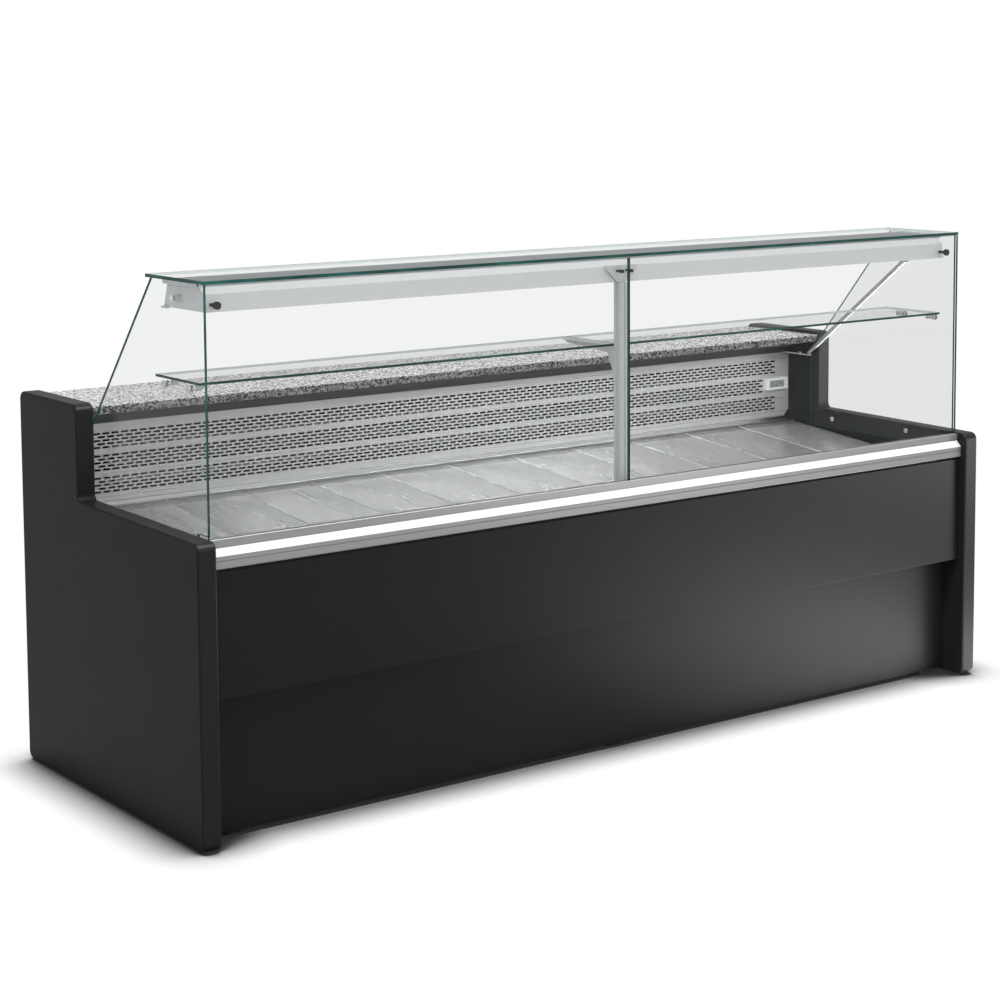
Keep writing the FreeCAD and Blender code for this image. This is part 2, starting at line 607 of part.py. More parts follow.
# ---- rear doors, gaskets and pivots ----
SEAL_INSET = 10.0
SEAL_W = 12.0
GRIP_GAP = 12.0
GRIP_OUT = 17.0
GRIP_Z0 = 200.0
GRIP_Z1 = 470.0
pivots = []
for i in range(DOOR_COUNT):
    x0 = DOOR_X0 + i * (DOOR_W + DOOR_GAP)
    x1 = x0 + DOOR_W
    last = i == DOOR_COUNT - 1
    axis_x = x1 - AXIS_INSET if last else x0 + AXIS_INSET
    free_x = x0 if last else x1
    inward = 1 if last else -1
    slab = block(x0, x1, DOOR_D0, DOOR_D1, DOOR_Z0, DOOR_Z1)
    slab = slab.makeFillet(2, edges_at(slab, "y", DOOR_D1 - HALF_D))
    web_x = sorted([free_x + inward * 6, free_x + inward * 14])
    lip_x = sorted([free_x + inward * 6, free_x + inward * 34])
    web = block(web_x[0], web_x[1], DOOR_D1, DOOR_D1 + GRIP_GAP, GRIP_Z0, GRIP_Z1)
    grip_lip = block(lip_x[0], lip_x[1], DOOR_D1 + GRIP_GAP, DOOR_D1 + GRIP_OUT, GRIP_Z0, GRIP_Z1)
    for z in (DOOR_Z0 - 1, DOOR_Z1 - 19):
        slab = slab.cut(rod_z(z, z + 20, axis_x, AXIS_D, PIN_R + PIN_FIT))
    write("door_" + str(i + 1), Part.makeCompound([slab, web, grip_lip]))
    seal_out = block(x0 + SEAL_INSET, x1 - SEAL_INSET, REAR_FACE + 0.5, DOOR_D0, 118, 552)
    sx0 = x0 + SEAL_INSET + SEAL_W
    sx1 = x1 - SEAL_INSET - SEAL_W
    seal = seal_out.cut(block(sx0, sx1, REAR_FACE, DOOR_D0 + 1, 118 + SEAL_W, 552 - SEAL_W))
    write("door_gasket_" + str(i + 1), seal)
    low_arm = block(axis_x - 11, axis_x + 11, REAR_FACE, 888, DOOR_Z0 - 5, DOOR_Z0 - 1)
    low_pin = rod_z(DOOR_Z0 - 4, DOOR_Z0 + 15, axis_x, AXIS_D, PIN_R)
    pivots.append(fused([low_arm, low_pin]))
    high_arm = block(axis_x - 11, axis_x + 11, REAR_FACE, 888, DOOR_Z1 + 1, DOOR_Z1 + 5)
    high_pin = rod_z(DOOR_Z1 - 15, DOOR_Z1 + 4, axis_x, AXIS_D, PIN_R)
    pivots.append(fused([high_arm, high_pin]))
write("door_pivots", Part.makeCompound(pivots))

# ---- evaporator: finned coil, fan plate with motors, fan rotors ----
COIL_X0 = -1080.0
COIL_X1 = 1040.0
FIN_PITCH = 80.0
TUBE_R = 6.0
TUBE_FIT = 0.1
coil_d = [752.0, 785.0, 818.0]
coil_z = [670.0, 715.0, 760.0, 805.0]
fin_ring = [V(0, d - HALF_D, z) for d, z in ((736, 640), (834, 640), (834, 835), (736, 835))]
fin_wires = [Part.makePolygon(fin_ring + fin_ring[:1])]
for d in coil_d:
    for z in coil_z:
        circle = Part.makeCircle(TUBE_R + TUBE_FIT, V(0, d - HALF_D, z), V(1, 0, 0))
        fin_wires.append(Part.Wire([circle]))
fin = Part.Face(fin_wires).extrude(V(1.2, 0, 0))
coil = []
fin_count = int((COIL_X1 - COIL_X0) / FIN_PITCH) + 1
for i in range(fin_count):
    copy = fin.copy()
    copy.translate(V(COIL_X0 + i * FIN_PITCH, 0, 0))
    coil.append(copy)
for d in coil_d:
    tubes = [rod_x(COIL_X0 - 12, COIL_X1 + 12, d, z, TUBE_R) for z in coil_z]
    for k in range(len(coil_z) - 1):
        x = COIL_X1 + 6 if k % 2 else COIL_X0 - 12
        tubes.append(rod_z(coil_z[k], coil_z[k + 1], x + 3, d, TUBE_R))
    coil.append(fused(tubes))
for x in (COIL_X0 + 20, COIL_X1 - 20):
    coil.append(block(x - 8, x + 8, 738, 832, 606, 640))
write("evaporator_coil", Part.makeCompound(coil))

FAN_X = [-720.0, 640.0]
FAN_D = 786.0
FAN_HOLE_R = 56.0
SHAFT_R = 3.0
SHAFT_FIT = 0.05
FAN_Z = 588.0
fan_sheet = block(-PANEL_X, PANEL_X, 725, REAR_FACE, 604, 606)
fan_parts = []
for x in FAN_X:
    fan_sheet = fan_sheet.cut(rod_z(603, 607, x, FAN_D, FAN_HOLE_R))
for x in (COIL_X0 + 20, COIL_X1 - 20):
    fan_parts.append(block(x - 8, x + 8, 727, 737, TUB_FLOOR1, 604))
fan_sheet = fan_sheet.cut(rod_z(603, 607, PIPE[0], PIPE[1], 16.0))
fan_parts.append(fan_sheet)
for x in FAN_X:
    bar = block(x - 62, x + 62, FAN_D - 5, FAN_D + 5, 606, 609)
    motor = rod_z(606, 630, x, FAN_D, 20.0)
    shaft = rod_z(FAN_Z - 8, 608, x, FAN_D, SHAFT_R)
    fan_parts.append(fused([bar, motor, shaft]))
write("evaporator_fan_plate", Part.makeCompound(fan_parts))


def fan_rotor(hub_r, tip_r, blades, hub_h, chord, pitch_deg):
    # Hub at the origin on +Z with flat pitched blades, bored for its shaft.
    parts = [Part.makeCylinder(hub_r, hub_h, V(0, 0, -hub_h / 2), V(0, 0, 1))]
    for k in range(blades):
        blade = Part.makeBox(tip_r - hub_r + 3, chord, 2.0, V(hub_r - 3, -chord / 2, -1.0))
        blade.rotate(V(0, 0, 0), V(1, 0, 0), pitch_deg)
        blade.rotate(V(0, 0, 0), V(0, 0, 1), k * 360.0 / blades)
        parts.append(blade)
    rotor = fused(parts)
    ring = Part.makeCylinder(tip_r, 4 * hub_h, V(0, 0, -2 * hub_h), V(0, 0, 1))
    rotor = rotor.common(ring)
    bore = Part.makeCylinder(SHAFT_R + SHAFT_FIT, 4 * hub_h, V(0, 0, -2 * hub_h), V(0, 0, 1))
    return rotor.cut(bore)


for i, x in enumerate(FAN_X):
    rotor = fan_rotor(16.0, 50.0, 5, 14.0, 26.0, 28.0)
    rotor.translate(V(x, FAN_D - HALF_D, FAN_Z + 4))
    write("evaporator_fan_" + str(i + 1), rotor)

# ---- condensing unit ----
UNIT_Z = FRAME_Z1 + 2
CX, CD = 930.0, 400.0
feet_plate = block(CX - 95, CX + 95, CD - 95, CD + 95, UNIT_Z + 14, UNIT_Z + 18)
shell = rod_z(UNIT_Z + 18, UNIT_Z + 150, CX, CD, 82.0)
crown = Part.makeSphere(110.0, V(CX, CD - HALF_D, UNIT_Z + 150 - 73.3))
crown = crown.common(rod_z(UNIT_Z + 149, UNIT_Z + 200, CX, CD, 82.0))
grommets = []
for sx in (-80, 80):
    for sd in (-80, 80):
        grommets.append(rod_z(UNIT_Z, UNIT_Z + 14, CX + sx, CD + sd, 10.0))
terminal = block(CX - 112, CX - 70, CD - 35, CD + 35, UNIT_Z + 60, UNIT_Z + 130)
PIPE_R = 6.0
suction = [
    V(CX + 82, CD - HALF_D, UNIT_Z + 110),
    V(PIPE[0], CD - HALF_D, UNIT_Z + 110),
    V(PIPE[0], PIPE[1] - HALF_D, UNIT_Z + 110),
    V(PIPE[0], PIPE[1] - HALF_D, coil_z[0]),
    V(COIL_X1 + 12, PIPE[1] - HALF_D, coil_z[0]),
]


def pipe(points, r):
    parts = []
    for a, b in zip(points[:-1], points[1:]):
        parts.append(Part.makeCylinder(r, (b - a).Length, a, b - a))
    for p in points[1:-1]:
        parts.append(Part.makeSphere(r, p))
    return parts


compressor = fused([feet_plate, shell, crown, terminal] + grommets)
suction_pipe = fused(pipe(suction, PIPE_R)).cut(shell)
write("compressor", Part.makeCompound([compressor, suction_pipe]))

COND_X0, COND_X1 = 760.0, 1120.0
COND_D0, COND_D1 = 780.0, 836.0
COND_Z1 = 470.0
cond = []
COND_BOX = [(COND_D0, UNIT_Z), (COND_D1, UNIT_Z), (COND_D1, COND_Z1), (COND_D0, COND_Z1)]
cond_ring = [V(0, d - HALF_D, z) for d, z in COND_BOX]
cond_wires = [Part.makePolygon(cond_ring + cond_ring[:1])]
cond_rows = [(d, UNIT_Z + 30 + k * 44.0) for d in (COND_D0 + 16, COND_D1 - 16) for k in range(8)]
for d, z in cond_rows:
    cond_wires.append(Part.Wire([Part.makeCircle(5.1, V(0, d - HALF_D, z), V(1, 0, 0))]))
cond_fin = Part.Face(cond_wires).extrude(V(1.2, 0, 0))
for i in range(13):
    copy = cond_fin.copy()
    copy.translate(V(COND_X0 + i * 30.0 - 0.6, 0, 0))
    cond.append(copy)
for d, z in cond_rows:
    cond.append(rod_x(COND_X0 - 8, COND_X1 + 8, d, z, 5.0))
write("condenser_coil", Part.makeCompound(cond))

FAN2_X = (COND_X0 + COND_X1) / 2
FAN2_Z = (UNIT_Z + COND_Z1) / 2
shroud = block(COND_X0, COND_X1, 720, COND_D0, UNIT_Z, COND_Z1)
shroud = shroud.cut(block(COND_X0 + 3, COND_X1 - 3, 724, COND_D0 + 1, UNIT_Z + 3, COND_Z1 - 3))
shroud = shroud.cut(rod_y(719, 725, FAN2_X, FAN2_Z, 150.0))
motor = rod_y(640, 696, FAN2_X, FAN2_Z, 38.0)
shaft = rod_y(695, 742, FAN2_X, FAN2_Z, SHAFT_R)
leg = block(FAN2_X - 30, FAN2_X + 30, 650, 686, UNIT_Z, FAN2_Z - 20)
mount = fused([motor, shaft, leg])
write("condenser_shroud", Part.makeCompound([shroud, mount]))
rotor2 = fan_rotor(30.0, 140.0, 5, 22.0, 70.0, 26.0)
rotor2.rotate(V(0, 0, 0), V(1, 0, 0), 90)
rotor2.translate(V(FAN2_X, 722 - HALF_D, FAN2_Z))
write("condenser_fan", rotor2)

# ---- rear service grille, control panel, light switch, cable gland ----
SG_X0, SG_X1 = 708.0, 1198.0
SG_Z0, SG_Z1 = 64.0, 558.0
service = block(SG_X0, SG_X1, REAR_FACE, 868, SG_Z0, SG_Z1)
service = service.cut(block(SG_X0 + 30, SG_X1 - 30, REAR_FACE - 1, 869, SG_Z0 + 86, SG_Z1 - 30))
SLATS = 15
slat_pitch = (SG_Z1 - 30 - SG_Z0 - 86) / SLATS
slats = []
for k in range(SLATS):
    z = SG_Z0 + 86 + k * slat_pitch
    slat = [(852, z + 17), (866, z + 3), (866, z + 6), (852, z + 20)]
    slats.append(prism_x(slat, SG_X0 + 29, SG_X1 - 29))
service = fused([service] + slats)
GLAND = (1160.0, 126.0)
service = service.cut(rod_y(REAR_FACE - 1, 869, GLAND[0], GLAND[1], 10.0))
write("service_grille", service)
gland = rod_y(REAR_FACE - 6, 880, GLAND[0], GLAND[1], 10.0)
gland = gland.fuse(rod_y(868, 874, GLAND[0], GLAND[1], 15.0))
gland = gland.cut(rod_y(REAR_FACE - 7, 881, GLAND[0], GLAND[1], 5.0))
write("cable_gland", gland)

CP_X, CP_Z = 900.0, 720.0
control = block(CP_X - 90, CP_X + 90, REAR_WALL_D1, REAR_WALL_D1 + 14, CP_Z - 45, CP_Z + 45)
control = control.makeFillet(3, edges_at(control, "y", REAR_WALL_D1 + 14 - HALF_D))
ROCKER_X = CP_X + 45
ROCKER_D = REAR_WALL_D1 + 10
pocket = block(ROCKER_X - 8, ROCKER_X + 8, REAR_WALL_D1 + 1, REAR_WALL_D1 + 15, CP_Z - 15, CP_Z + 15)
control = control.cut(pocket)
rocker_pin = rod_x(ROCKER_X - 8.5, ROCKER_X + 8.5, ROCKER_D, CP_Z, 1.5)
control = control.fuse(rocker_pin)
write("control_panel", control)
rocker = prism_x(
    [
        (ROCKER_D - 5, CP_Z - 8),
        (ROCKER_D + 4, CP_Z - 13),
        (ROCKER_D + 3, CP_Z),
        (ROCKER_D + 4, CP_Z + 13),
        (ROCKER_D - 5, CP_Z + 8),
    ],
    ROCKER_X - 7,
    ROCKER_X + 7,
)
rocker = rocker.cut(rod_x(ROCKER_X - 9, ROCKER_X + 9, ROCKER_D, CP_Z, 1.55))
write("light_switch", rocker)
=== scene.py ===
"""Looks of a long refrigerated deli case: glass canopy, sloping steel deck, stone worktop."""

import json
import math

import bmesh
import bpy
from mathutils import Matrix, Vector


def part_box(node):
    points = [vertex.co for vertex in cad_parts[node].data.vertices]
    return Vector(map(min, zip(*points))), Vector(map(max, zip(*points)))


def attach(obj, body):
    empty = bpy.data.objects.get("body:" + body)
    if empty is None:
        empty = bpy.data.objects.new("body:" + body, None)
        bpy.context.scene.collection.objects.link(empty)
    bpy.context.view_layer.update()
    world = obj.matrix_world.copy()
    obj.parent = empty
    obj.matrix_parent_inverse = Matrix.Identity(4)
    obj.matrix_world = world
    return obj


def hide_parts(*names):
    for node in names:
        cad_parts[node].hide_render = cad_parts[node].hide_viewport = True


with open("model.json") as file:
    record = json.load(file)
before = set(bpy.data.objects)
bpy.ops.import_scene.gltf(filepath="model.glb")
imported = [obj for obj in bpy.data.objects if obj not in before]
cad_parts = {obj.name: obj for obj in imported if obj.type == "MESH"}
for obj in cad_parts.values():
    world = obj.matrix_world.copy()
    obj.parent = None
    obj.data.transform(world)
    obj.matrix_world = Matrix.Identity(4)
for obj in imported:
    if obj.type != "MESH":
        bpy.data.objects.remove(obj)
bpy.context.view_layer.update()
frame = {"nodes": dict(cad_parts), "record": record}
nodes = frame["nodes"]

MM = 0.001
FRONT = 0.455  # the end panels' front edge lies this far in front of the origin


def at(x, d, z):
    """A point from millimetres: x from the middle, d back from the end panels' front edge."""
    return Vector((x * MM, d * MM - FRONT, z * MM))


# ------------------------------------------------------------------ node trees
class Tree:
    """The node tree of a new material, or of the world."""

    def __init__(self, name, owner=None, output="ShaderNodeOutputMaterial"):
        self.owner = owner or bpy.data.materials.new(name)
        self.owner.use_nodes = True
        self.nt = self.owner.node_tree
        self.nt.nodes.clear()
        self.out = self.add(output)
        self.place = self.add("ShaderNodeTexCoord").outputs["Object"]

    def add(self, kind, inputs=None, **props):
        node = self.nt.nodes.new(kind)
        for key, value in props.items():
            setattr(node, key, value)
        for key, value in (inputs or {}).items():
            self.put(node.inputs[key], value)
        return node

    def put(self, socket, value):
        """Links another node's output to a socket, or sets the socket's own value."""
        if isinstance(value, bpy.types.NodeSocket):
            self.nt.links.new(value, socket)
        elif isinstance(value, tuple) and len(value) == 3 and len(socket.default_value) == 4:
            socket.default_value = (*value, 1.0)
        else:
            socket.default_value = value

    def noise(self, scale, detail=4.0, rough=0.55, stretch=None):
        vector = self.place
        if stretch:
            stretched = {"Vector": self.place, "Scale": stretch}
            vector = self.add("ShaderNodeMapping", stretched).outputs[0]
        settings = {"Vector": vector, "Scale": scale, "Detail": detail, "Roughness": rough}
        return self.add("ShaderNodeTexNoise", settings).outputs["Fac"]

    def wave(self, scale, direction):
        settings = {"Vector": self.place, "Scale": scale}
        node = self.add("ShaderNodeTexWave", settings, bands_direction=direction)
        return node.outputs["Fac"]

    def cells(self, scale, channel, place=None):
        """Voronoi cells: the node, and a random number that is the same all over a cell."""
        settings = {"Vector": place or self.place, "Scale": scale}
        node = self.add("ShaderNodeTexVoronoi", settings)
        parts = self.add("ShaderNodeSeparateColor", {0: node.outputs["Color"]})
        return node, parts.outputs[channel]

    def facing(self, axis, start, end):
        """0 to 1 as the surface turns to face along an axis."""
        normal = self.add("ShaderNodeNewGeometry").outputs["Normal"]
        parts = self.add("ShaderNodeSeparateXYZ", {0: normal}).outputs
        return self.span(parts[axis], 0.0, 1.0, start, end)

    def span(self, value, low, high, from_low=0.0, from_high=1.0):
        """The value, carried from one range to another and kept inside it."""
        ends = {
            "Value": value,
            "From Min": from_low,
            "From Max": from_high,
            "To Min": low,
            "To Max": high,
        }
        return self.add("ShaderNodeMapRange", ends).outputs["Result"]

    def ramp(self, value, stops, interpolation="LINEAR"):
        node = self.add("ShaderNodeValToRGB", {"Fac": value})
        ramp = node.color_ramp
        ramp.interpolation = interpolation
        while len(ramp.elements) < len(stops):
            ramp.elements.new(0.5)
        for element, (place, colour) in zip(ramp.elements, stops):
            element.position = place
            element.color = (*colour, 1.0)
        return node.outputs["Color"]

    def mixed(self, share, a, b):
        node = self.add("ShaderNodeMix", data_type="RGBA")
        self.put(node.inputs[0], share)
        self.put(node.inputs[6], a)
        self.put(node.inputs[7], b)
        return node.outputs[2]

    def mixed_shader(self, share, a, b):
        return self.add("ShaderNodeMixShader", {0: share, 1: a, 2: b}).outputs[0]

    def maths(self, operation, a, b):
        return self.add("ShaderNodeMath", {0: a, 1: b}, operation=operation).outputs[0]

    def vector_maths(self, operation, a, b, second=1):
        node = self.add("ShaderNodeVectorMath", {0: a, second: b}, operation=operation)
        return node.outputs[0]

    def bump(self, height, strength, distance):
        settings = {"Height": height, "Strength": strength, "Distance": distance}
        return self.add("ShaderNodeBump", settings).outputs[0]

    def finish(self, shader):
        self.put(self.out.inputs["Surface"], shader)
        return self.owner

    def surface(self, **inputs):
        """Ends the tree with a principled shader, its sockets named with underscores."""
        named = {key.replace("_", " "): value for key, value in inputs.items()}
        return self.finish(self.add("ShaderNodeBsdfPrincipled", named).outputs[0])


# ------------------------------------------------------------------ finishes
def satin_paint(name, dark, light, rough, grain=0.035, specular=0.4, shade=None):
    """Powder-coated sheet: fine orange peel, faint clouds of colour and gloss.

    shade is (axis, start, end, colour): faces turned along the axis take that colour. On the lamp's
    top it is a second paint on a sheet whose other side has another finish; on the duct wall's
    front it is painted shade."""
    dust_colour, dust_share = (0.25, 0.25, 0.26), 0.06
    t = Tree(name)
    cloud = t.noise(2.3, 3.0)
    peel = t.noise(1400.0, 2.0)
    colour = t.mixed(t.span(cloud, 0.2, 0.8), dark, light)
    dust = t.span(t.noise(260.0, 3.0, 0.7), 0.0, 1.0, 0.62, 0.78)
    colour = t.mixed(t.maths("MULTIPLY", dust, dust_share), colour, dust_colour)
    if shade:
        axis, start, end, other = shade
        colour = t.mixed(t.facing(axis, start, end), colour, other)
    return t.surface(
        Base_Color=colour,
        Roughness=t.span(t.noise(11.0, 5.0, 0.6), rough - 0.04, rough + 0.05),
        Specular_IOR_Level=specular,
        Normal=t.bump(peel, grain, 0.0004),
    )


def brushed_metal(name, dark, light, rough, stretch, depth=0.05, smudge=0.06, metallic=1.0):
    """Brushed metal: long fine streaks along one direction, faint smudges across them."""
    t = Tree(name)
    streaks = t.noise(1.0, 3.0, 0.65, stretch)
    broad = t.noise(1.0, 2.0, 0.5, tuple(0.22 * s for s in stretch))
    cloud = t.noise(4.0, 4.0, 0.55)
    colour = t.mixed(t.span(streaks, 0.0, 1.0, 0.3, 0.7), dark, light)
    colour = t.mixed(t.span(cloud, 0.0, 0.25, 0.35, 0.75), colour, dark)
    gloss = t.span(broad, rough - 0.05, rough + 0.05, 0.3, 0.7)
    gloss = t.maths("ADD", gloss, t.span(cloud, 0.0, smudge, 0.4, 0.8))
    return t.surface(
        Base_Color=colour,
        Metallic=metallic,
        Roughness=gloss,
        Normal=t.bump(streaks, depth, 0.0003),
    )


def granite_stone():
    """Salt-and-pepper granite, polished on top, its front edge darkened by painted shade."""
    black, dark, mid = (0.012, 0.012, 0.014), (0.075, 0.076, 0.082), (0.27, 0.27, 0.28)
    pale, white = (0.62, 0.62, 0.63), (0.90, 0.89, 0.88)
    pepper = [(0.0, black), (0.24, dark), (0.36, mid), (0.48, pale), (0.68, white)]
    salt = [(0.0, black), (0.28, dark), (0.38, pale), (0.62, white)]
    # the last colour is painted shade for the stone's front edge
    cloud_colour, painted_shade_colour = (0.42, 0.42, 0.44), (0.020, 0.020, 0.023)
    t = Tree("granite_polished")
    warp = t.add("ShaderNodeTexNoise", {"Vector": t.place, "Scale": 160.0, "Detail": 3.0})
    offset = t.vector_maths("SUBTRACT", warp.outputs["Color"], (0.5, 0.5, 0.5))
    place = t.vector_maths("ADD", t.place, t.vector_maths("SCALE", offset, 0.004, "Scale"))
    coarse, pick = t.cells(185.0, 0, place)
    pick_fine = t.cells(310.0, 1, place)[1]
    share = t.span(t.noise(150.0, 2.0), 0.0, 1.0, 0.47, 0.53)
    large, small = t.ramp(pick, pepper, "CONSTANT"), t.ramp(pick_fine, salt, "CONSTANT")
    colour = t.mixed(share, large, small)
    colour = t.mixed(t.span(t.noise(6.0, 3.0), 0.0, 0.08), colour, cloud_colour)
    # painted shade and painted reflection: faces turned to the front are darkened, standing in for
    # the shade below the lamp and the dark case mirrored in the polished edge
    front_painted_shade = t.maths("MULTIPLY", t.facing("Y", -0.4, -0.9), 0.62)
    return t.surface(
        Base_Color=t.mixed(front_painted_shade, colour, painted_shade_colour),
        Roughness=t.span(pick, 0.16, 0.30),
        Specular_IOR_Level=0.25,
        Normal=t.bump(coarse.outputs["Distance"], 0.02, 0.0003),
    )


def clear_glass(name, tint):
    """Clear float glass: tinted a little at each face, more of a mirror the flatter it is seen."""
    straight_on, flat_on = 0.018, 0.14
    t = Tree(name)
    smear = t.noise(7.0, 4.0, 0.6)
    facing = t.add("ShaderNodeLayerWeight", {"Blend": 0.5}).outputs["Facing"]
    share = t.span(t.maths("POWER", facing, 4.0), straight_on, flat_on)
    polish = {
        "Base Color": (0.95, 0.96, 0.955),
        "Metallic": 1.0,
        "Roughness": t.span(smear, 0.0, 0.03, 0.45, 0.85),
    }
    mirror = t.add("ShaderNodeBsdfPrincipled", polish).outputs[0]
    through = t.add("ShaderNodeBsdfTransparent", {"Color": tint}).outputs[0]
    return t.finish(t.mixed_shader(share, through, mirror))


def glass_edge(name, inside):
    """The ground edge of a pane, where its green shows. inside is its colour through the pane."""
    deep, middle, light = (0.002, 0.026, 0.022), (0.005, 0.052, 0.044), (0.016, 0.12, 0.10)
    t = Tree(name)
    colour = t.ramp(t.noise(9.0, 4.0, 0.6), [(0.30, deep), (0.52, middle), (0.78, light)])
    fine = t.noise(900.0, 2.0)
    through = t.add("ShaderNodeNewGeometry").outputs["Backfacing"]
    return t.surface(
        Base_Color=t.mixed(through, colour, inside),
        Roughness=t.span(fine, 0.16, 0.34),
        Specular_IOR_Level=0.35,
        Normal=t.bump(fine, 0.03, 0.0002),
    )


def moulded(name, colour, other, rough, grain=0.03, scale=900.0):
    """Moulded plastic or rubber with a fine grain."""
    t = Tree(name)
    fine = t.noise(scale, 3.0, 0.6)
    cloud = t.noise(14.0, 3.0)
    return t.surface(
        Base_Color=t.mixed(t.span(cloud, 0.1, 0.9), colour, other),
        Roughness=t.span(fine, rough - 0.06, rough + 0.08),
        Specular_IOR_Level=0.5,
        Normal=t.bump(fine, grain, 0.0003),
    )


def galvanised_sheet():
    """Zinc spangle: flat crystals, each with its own grey and gloss."""
    greys = [(0.0, (0.30, 0.31, 0.33)), (0.5, (0.45, 0.46, 0.48)), (1.0, (0.60, 0.61, 0.62))]
    t = Tree("galvanised_spangle")
    pick = t.cells(95.0, 0)[1]
    return t.surface(
        Base_Color=t.ramp(pick, greys),
        Metallic=0.9,
        Roughness=t.span(pick, 0.36, 0.55),
        Normal=t.bump(pick, 0.06, 0.0003),
    )


def ribbed_diffuser():
    """Opal cover with fine ribs that run along it."""
    t = Tree("opal_ribbed")
    ribs = t.wave(60.0, "Y")
    cloud = t.span(t.noise(3.0, 2.0), 0.0, 0.6)
    return t.surface(
        Base_Color=t.mixed(cloud, (0.86, 0.87, 0.86), (0.93, 0.93, 0.91)),
        Roughness=t.span(ribs, 0.30, 0.45),
        Subsurface_Weight=0.15,
        Subsurface_Radius=(0.004, 0.004, 0.004),
        Normal=t.bump(ribs, 0.25, 0.0006),
    )


def liquid_crystal():
    """Grey display glass with its faint scan lines."""
    line_share = 0.10
    t = Tree("lcd_glass")
    lines = t.span(t.wave(420.0, "Z"), 0.0, line_share)
    cloud = t.noise(45.0, 2.0)
    colour = t.mixed(t.span(cloud, 0.0, 1.0), (0.30, 0.32, 0.31), (0.42, 0.44, 0.42))
    return t.surface(
        Base_Color=t.mixed(lines, colour, (0.15, 0.16, 0.155)),
        Roughness=t.span(cloud, 0.14, 0.22),
        Coat_Weight=0.6,
        Coat_Roughness=0.05,
    )


def chrome():
    t = Tree("chrome_polished")
    cloud = t.noise(60.0, 3.0)
    return t.surface(
        Base_Color=t.mixed(t.span(cloud, 0.0, 1.0), (0.74, 0.75, 0.77), (0.86, 0.86, 0.87)),
        Metallic=1.0,
        Roughness=t.span(cloud, 0.06, 0.16),
        Normal=t.bump(t.noise(500.0, 2.0), 0.01, 0.0002),
    )


# How far a brushed metal's noise is squeezed along each axis: the streaks run along the least.
ALONG_X = (1.6, 520.0, 520.0)
ALONG_Y = (520.0, 1.6, 520.0)
FINE_X = (4.0, 1500.0, 1500.0)

# What two finishes share, and the colour that a surface takes on one side: a second paint on the
# lamp's top, and painted shade on the duct wall's front.
FOAM_SKIN = (0.44, 0.45, 0.46), (0.50, 0.51, 0.52), 0.40, 0.03, 0.45
LAMP_TOP_SHADE = ("Z", 0.9, 0.97, (0.19, 0.195, 0.20))
# painted shade: the duct wall's front, seen through the air panel's slots, is painted near black to
# stand in for the shade deep in the duct
DUCT_PAINTED_SHADE = ("Y", -0.4, -0.8, (0.004, 0.004, 0.004))

